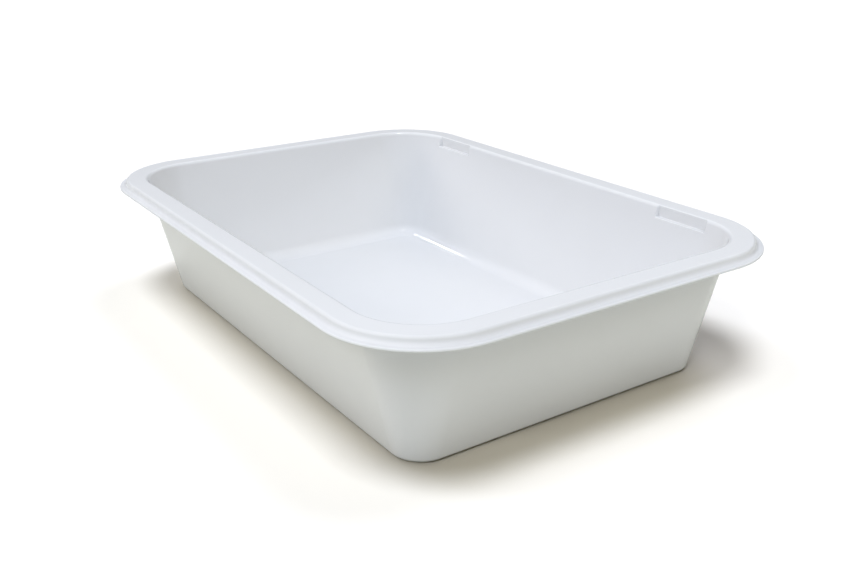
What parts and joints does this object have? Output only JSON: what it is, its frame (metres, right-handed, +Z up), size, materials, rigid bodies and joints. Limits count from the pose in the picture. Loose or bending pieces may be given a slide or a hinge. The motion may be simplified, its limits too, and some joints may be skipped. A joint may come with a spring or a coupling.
{
  "type": "developing tray",
  "caption": "Rectangular one-piece plastic tray with leaning walls, a flat flange, a stepped lip and stacking ledges, for holding chemistry while paper prints are developed.",
  "frame": {"origin": "middle of the flat base, on the face that rests on the bench", "axes": "+X across the tray, +Y along the tray, +Z up out of the mouth"},
  "size_m": [0.32, 0.442, 0.0955],
  "materials": {
    "shell": "glossy moulded plastic, white with a faint cool cast"
  },
  "bodies": {
    "root": {"tray": "shell"}
  },
  "joints": []
}
